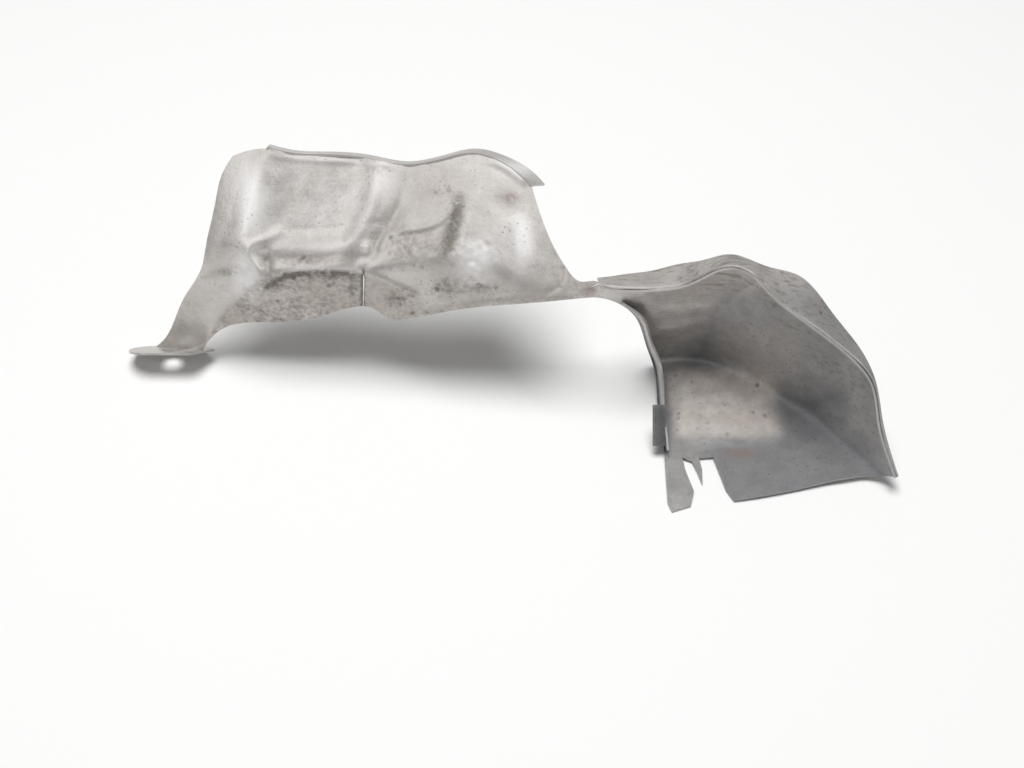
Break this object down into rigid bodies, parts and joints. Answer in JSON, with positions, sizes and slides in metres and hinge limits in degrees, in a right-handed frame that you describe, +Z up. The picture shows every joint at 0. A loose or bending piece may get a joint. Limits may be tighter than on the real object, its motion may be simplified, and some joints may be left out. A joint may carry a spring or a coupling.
{
  "type": "exhaust heat shield",
  "caption": "Thin pressed-steel exhaust heat shield: a ribbed cover with a bolt tab, joined by a narrow cracked neck to a deep scoop with a folded rim, worn and torn at its edge.",
  "frame": {"origin": "centre of the bounding box on the surface the shield rests on", "axes": "+X along the shield from the bolt tab to the scoop, +Y from the scoop's open side to the cover's back flange, +Z up"},
  "size_m": [0.3762, 0.146, 0.1096],
  "materials": {
    "shield_steel": "satin aluminised sheet, heat stained, dirty and scratched"
  },
  "bodies": {
    "root": {"heat_shield": "shield_steel"}
  },
  "joints": []
}
